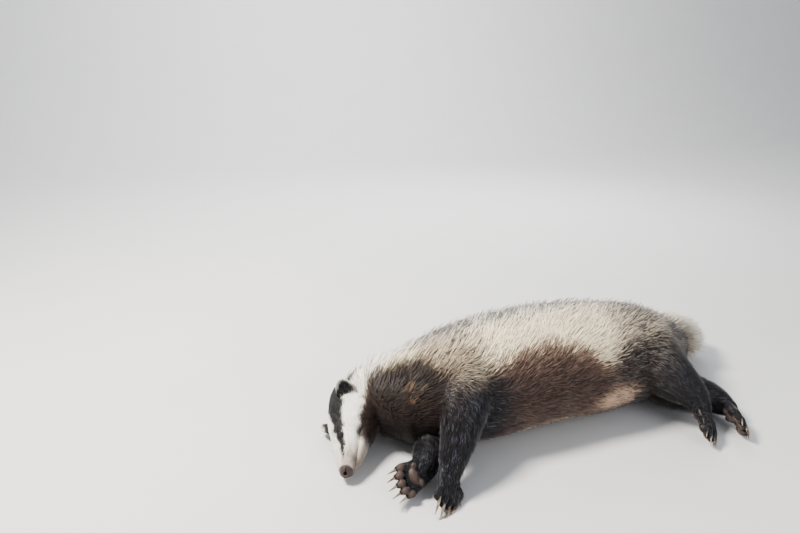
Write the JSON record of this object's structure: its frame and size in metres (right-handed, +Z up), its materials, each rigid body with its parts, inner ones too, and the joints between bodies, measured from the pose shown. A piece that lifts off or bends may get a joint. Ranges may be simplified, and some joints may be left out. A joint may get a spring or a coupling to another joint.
{
  "type": "european badger, lying on its side",
  "caption": "Life-size still model of a European badger lying on its right side, legs out in front and nose tucked down, with a striped face, grizzled coat and clawed paws.",
  "frame": {"origin": "middle of the footprint, on the floor that the animal lies on", "axes": "+X from head to tail, -Y the way the belly and the legs face, +Z up, through the animal's left side"},
  "size_m": [0.8682, 0.4152, 0.1946],
  "materials": {
    "face_fur": "short matt fur, white with a dark stripe through each eye",
    "body_fur": "long grizzled matt fur, silver grey over brown, cream on the flank",
    "tail_fur": "long cream matt fur",
    "leg_fur": "short black-brown fur with a slight sheen",
    "ear_fur": "short dark fur with a white rim",
    "paw_skin": "bare matt pads, horn claws and short dark fur",
    "nose_skin": "bare pebbled skin, half matt",
    "eye": "dark wet gloss"
  },
  "bodies": {
    "root": {"head": "face_fur", "neck": "body_fur", "torso": "body_fur", "tail": "tail_fur", "foreleg_left": "leg_fur", "foreleg_right": "leg_fur", "hindleg_left": "leg_fur", "hindleg_right": "leg_fur", "forepaw_left": "paw_skin", "forepaw_right": "paw_skin", "hindpaw_left": "paw_skin", "hindpaw_right": "paw_skin", "ear_left": "ear_fur", "ear_right": "ear_fur", "eye_left": "eye", "eye_right": "eye", "nose": "nose_skin"}
  },
  "joints": []
}
